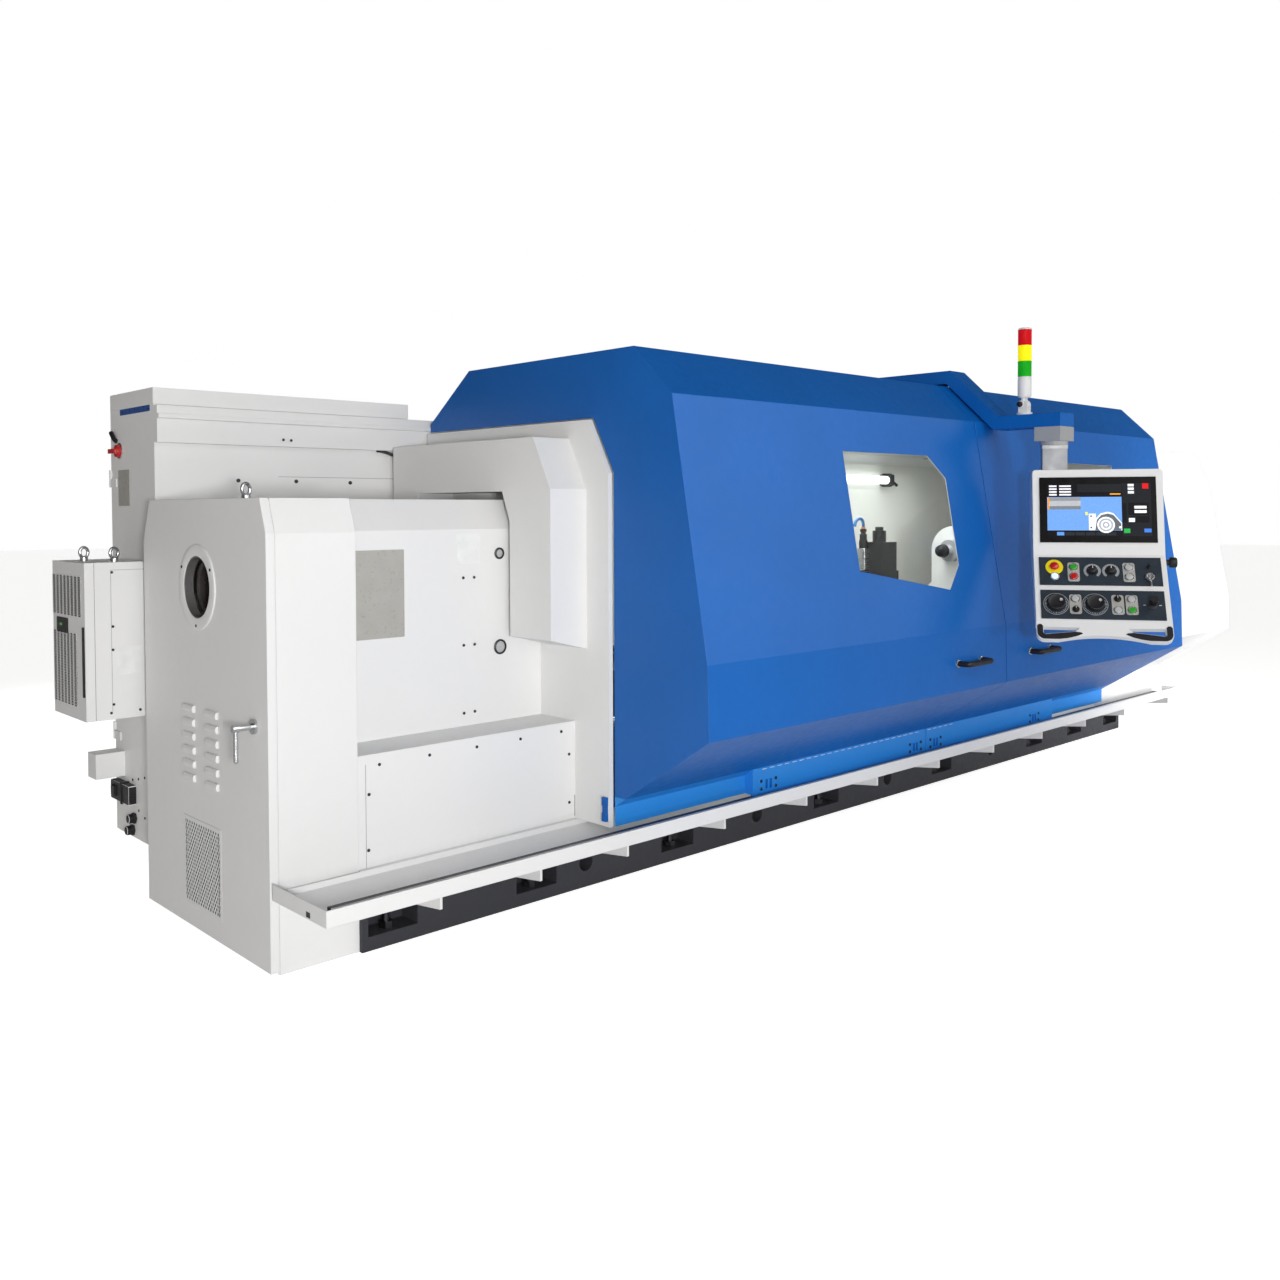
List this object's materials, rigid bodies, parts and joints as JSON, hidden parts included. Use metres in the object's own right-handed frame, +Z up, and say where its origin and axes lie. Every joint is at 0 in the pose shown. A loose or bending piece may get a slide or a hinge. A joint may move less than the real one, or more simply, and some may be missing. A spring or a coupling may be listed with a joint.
{
  "type": "cnc turning lathe",
  "caption": "Long-bed turning lathe with belt-driven headstock, sliding two-part hood with windows, swivelling control panel on an overhead arm and rear electrical cabinet.",
  "frame": {"origin": "on the floor under the spindle axis, half way along the bed", "axes": "+X along the bed from the headstock towards the tailstock, +Y from the operator's side to the rear, +Z up"},
  "size_m": [5.62, 2.6222, 2.054],
  "materials": {
    "base_paint": "dark grey semi-gloss paint on casting",
    "white_paint": "off-white fine-texture enamel on sheet steel",
    "blue_paint": "blue satin enamel on sheet steel",
    "inner_paint": "pale grey-green paint",
    "grey_paint": "grey satin paint",
    "machined_steel": "turned and ground",
    "dark_steel": "blackened",
    "bright_steel": "polished plating",
    "belt_rubber": "matt",
    "black_plastic": "fine grain",
    "pane_clear": "clear laminated pane",
    "screen_glass": "display under glass",
    "plate_slate": "dark slate foil",
    "lamp_white": "diffusing tube",
    "lens_colours": "stacked red, yellow and green lenses",
    "red_plastic": "glossy",
    "green_plastic": "glossy, lit",
    "white_plastic": "glossy, lit",
    "grey_plastic": "glossy"
  },
  "bodies": {
    "machine": {"bed": "base_paint", "levelling_screws": "dark_steel", "headstock": "inner_paint", "drive_belt": "belt_rubber", "end_cover": "white_paint", "headstock_cover": "white_paint", "lower_cover": "white_paint", "eyebolts": "bright_steel", "splash_guard": "white_paint", "front_rail": "white_paint", "right_cover": "white_paint", "rear_wall": "inner_paint", "guide_beam": "white_paint", "work_lamp": "lamp_white", "ball_screw": "machined_steel", "cabinet": "white_paint", "cooling_unit": "white_paint", "control_arm": "blue_paint", "arm_head": "grey_paint", "tower_base": "white_plastic"},
    "spindle_body": {"spindle": "machined_steel"},
    "motor_pulley_body": {"motor_pulley": "dark_steel"},
    "end_door_body": {"end_door": "white_paint"},
    "door_handle_body": {"door_handle": "bright_steel"},
    "left_hood_body": {"left_hood": "blue_paint", "left_window": "pane_clear", "left_grip": "black_plastic"},
    "right_hood_body": {"right_hood": "blue_paint", "right_window": "pane_clear", "right_grip": "black_plastic"},
    "carriage_body": {"carriage": "inner_paint"},
    "cross_slide_body": {"cross_slide": "machined_steel", "tool_post": "dark_steel"},
    "tailstock_body": {"tailstock": "white_paint"},
    "quill_body": {"quill": "machined_steel"},
    "cabinet_door_left_body": {"cabinet_door_left": "white_paint"},
    "cabinet_door_right_body": {"cabinet_door_right": "white_paint"},
    "main_switch_body": {"main_switch": "red_plastic"},
    "panel_body": {"panel": "white_paint", "screen": "screen_glass", "button_plates": "plate_slate"},
    "tower_body": {"tower_light": "lens_colours"},
    "emergency_stop_body": {"emergency_stop": "red_plastic"},
    "start_button_body": {"start_button": "white_plastic"},
    "green_button_body": {"green_button": "green_plastic"},
    "red_button_body": {"red_button": "red_plastic"},
    "feed_dial_body": {"feed_dial": "black_plastic"},
    "speed_dial_body": {"speed_dial": "black_plastic"},
    "grey_button_a_body": {"grey_button_a": "grey_plastic"},
    "grey_button_b_body": {"grey_button_b": "grey_plastic"},
    "key_switch_body": {"key_switch": "bright_steel"},
    "handwheel_x_body": {"handwheel_x": "black_plastic"},
    "handwheel_z_body": {"handwheel_z": "black_plastic"},
    "lamp_button_body": {"lamp_button": "grey_plastic"},
    "mode_selector_body": {"mode_selector": "black_plastic"},
    "chuck_selector_body": {"chuck_selector": "black_plastic"},
    "grey_button_c_body": {"grey_button_c": "grey_plastic"},
    "grey_button_d_body": {"grey_button_d": "grey_plastic"},
    "cycle_button_body": {"cycle_button": "green_plastic"},
    "joystick_body": {"joystick": "black_plastic"}
  },
  "joints": [
    {"name": "spindle_spin", "type": "hinge", "parent": "machine", "child": "spindle_body", "pos_m": [-2, 0, 1.071], "axis": [1, 0, 0], "continuous": true},
    {"name": "motor_pulley_spin", "type": "hinge", "parent": "machine", "child": "motor_pulley_body", "pos_m": [-2.6, 0, 0.56], "axis": [1, 0, 0], "continuous": true},
    {"name": "end_door_hinge", "type": "hinge", "parent": "machine", "child": "end_door_body", "pos_m": [-2.7773, 0.44, 0.6], "axis": [0, 0, -1], "range_deg": [0, 90]},
    {"name": "door_handle_turn", "type": "hinge", "parent": "end_door_body", "child": "door_handle_body", "pos_m": [-2.802, -0.376, 0.695], "axis": [1, 0, 0], "range_deg": [0, 90]},
    {"name": "left_hood_slide", "type": "slide", "parent": "machine", "child": "left_hood_body", "axis": [-1, 0, 0], "range_m": [0, 1.04]},
    {"name": "right_hood_slide", "type": "slide", "parent": "machine", "child": "right_hood_body", "axis": [1, 0, 0], "range_m": [0, 0.65]},
    {"name": "carriage_slide", "type": "slide", "parent": "machine", "child": "carriage_body", "axis": [1, 0, 0], "range_m": [-1.7, 0.5]},
    {"name": "cross_slide_feed", "type": "slide", "parent": "carriage_body", "child": "cross_slide_body", "axis": [0, 1, 0], "range_m": [-0.15, 0.1]},
    {"name": "tailstock_slide", "type": "slide", "parent": "machine", "child": "tailstock_body", "axis": [1, 0, 0], "range_m": [-0.45, 0.4]},
    {"name": "quill_slide", "type": "slide", "parent": "tailstock_body", "child": "quill_body", "axis": [-1, 0, 0], "range_m": [0, 0.15]},
    {"name": "cabinet_door_left_hinge", "type": "hinge", "parent": "machine", "child": "cabinet_door_left_body", "pos_m": [-2.743, 0.891, 0.9], "axis": [0, 0, 1], "range_deg": [0, 110]},
    {"name": "cabinet_door_right_hinge", "type": "hinge", "parent": "machine", "child": "cabinet_door_right_body", "pos_m": [-1.755, 0.891, 0.9], "axis": [0, 0, -1], "range_deg": [0, 110]},
    {"name": "main_switch_turn", "type": "hinge", "parent": "machine", "child": "main_switch_body", "pos_m": [-2.744, 0.8, 1.518], "axis": [1, 0, 0], "range_deg": [0, 90]},
    {"name": "panel_swivel", "type": "hinge", "parent": "machine", "child": "panel_body", "pos_m": [0.2495, -1.206, 1.56], "axis": [0, 0, 1], "range_deg": [-32, 58]},
    {"name": "tower_tilt", "type": "hinge", "parent": "machine", "child": "tower_body", "pos_m": [0.2495, -1.075, 1.735], "axis": [1, 0, 0], "range_deg": [0, 90]},
    {"name": "start_button_press", "type": "slide", "parent": "panel_body", "child": "start_button_body", "axis": [0.7112, 0.4444, -0.5446], "range_m": [0, 0.003], "stiffness_N_per_m": 300, "springref_m": -0.003},
    {"name": "green_button_press", "type": "slide", "parent": "panel_body", "child": "green_button_body", "axis": [0.7112, 0.4444, -0.5446], "range_m": [0, 0.003], "stiffness_N_per_m": 300, "springref_m": -0.003},
    {"name": "red_button_press", "type": "slide", "parent": "panel_body", "child": "red_button_body", "axis": [0.7112, 0.4444, -0.5446], "range_m": [0, 0.003], "stiffness_N_per_m": 300, "springref_m": -0.003},
    {"name": "grey_button_a_press", "type": "slide", "parent": "panel_body", "child": "grey_button_a_body", "axis": [0.7112, 0.4444, -0.5446], "range_m": [0, 0.003], "stiffness_N_per_m": 300, "springref_m": -0.003},
    {"name": "grey_button_b_press", "type": "slide", "parent": "panel_body", "child": "grey_button_b_body", "axis": [0.7112, 0.4444, -0.5446], "range_m": [0, 0.003], "stiffness_N_per_m": 300, "springref_m": -0.003},
    {"name": "lamp_button_press", "type": "slide", "parent": "panel_body", "child": "lamp_button_body", "axis": [0.7112, 0.4444, -0.5446], "range_m": [0, 0.003], "stiffness_N_per_m": 300, "springref_m": -0.003},
    {"name": "grey_button_c_press", "type": "slide", "parent": "panel_body", "child": "grey_button_c_body", "axis": [0.7112, 0.4444, -0.5446], "range_m": [0, 0.003], "stiffness_N_per_m": 300, "springref_m": -0.003},
    {"name": "grey_button_d_press", "type": "slide", "parent": "panel_body", "child": "grey_button_d_body", "axis": [0.7112, 0.4444, -0.5446], "range_m": [0, 0.003], "stiffness_N_per_m": 300, "springref_m": -0.003},
    {"name": "cycle_button_press", "type": "slide", "parent": "panel_body", "child": "cycle_button_body", "axis": [0.7112, 0.4444, -0.5446], "range_m": [0, 0.003], "stiffness_N_per_m": 300, "springref_m": -0.003},
    {"name": "emergency_stop_press", "type": "slide", "parent": "panel_body", "child": "emergency_stop_body", "axis": [0.7112, 0.4444, -0.5446], "range_m": [0, 0.004]},
    {"name": "feed_dial_turn", "type": "hinge", "parent": "panel_body", "child": "feed_dial_body", "pos_m": [0.15655, -1.41501, 1.05698], "axis": [-0.7112, -0.4444, 0.5446], "range_deg": [-135, 135]},
    {"name": "speed_dial_turn", "type": "hinge", "parent": "panel_body", "child": "speed_dial_body", "pos_m": [0.19259, -1.47268, 1.05698], "axis": [-0.7112, -0.4444, 0.5446], "range_deg": [-135, 135]},
    {"name": "key_switch_turn", "type": "hinge", "parent": "panel_body", "child": "key_switch_body", "pos_m": [0.25424, -1.59807, 1.03518], "axis": [-0.7112, -0.4444, 0.5446], "range_deg": [0, 90]},
    {"name": "mode_selector_turn", "type": "hinge", "parent": "panel_body", "child": "mode_selector_body", "pos_m": [0.04008, -1.40643, 0.91189], "axis": [-0.7112, -0.4444, 0.5446], "range_deg": [-45, 45]},
    {"name": "chuck_selector_turn", "type": "hinge", "parent": "panel_body", "child": "chuck_selector_body", "pos_m": [0.14333, -1.52233, 0.95215], "axis": [-0.7112, -0.4444, 0.5446], "range_deg": [-45, 45]},
    {"name": "handwheel_x_turn", "type": "hinge", "parent": "panel_body", "child": "handwheel_x_body", "pos_m": [0.01354, -1.33929, 0.93202], "axis": [-0.7112, -0.4444, 0.5446], "continuous": true},
    {"name": "handwheel_z_turn", "type": "hinge", "parent": "panel_body", "child": "handwheel_z_body", "pos_m": [0.08879, -1.45972, 0.93202], "axis": [-0.7112, -0.4444, 0.5446], "continuous": true},
    {"name": "joystick_tilt", "type": "hinge", "parent": "panel_body", "child": "joystick_body", "pos_m": [0.19742, -1.63356, 0.93202], "axis": [0.5299, -0.848, 0], "range_deg": [-18, 18], "stiffness_Nm_per_rad": 2}
  ],
  "couplings": [
    {"joint": "motor_pulley_spin", "follows": "spindle_spin", "ratio": 1.5455}
  ]
}
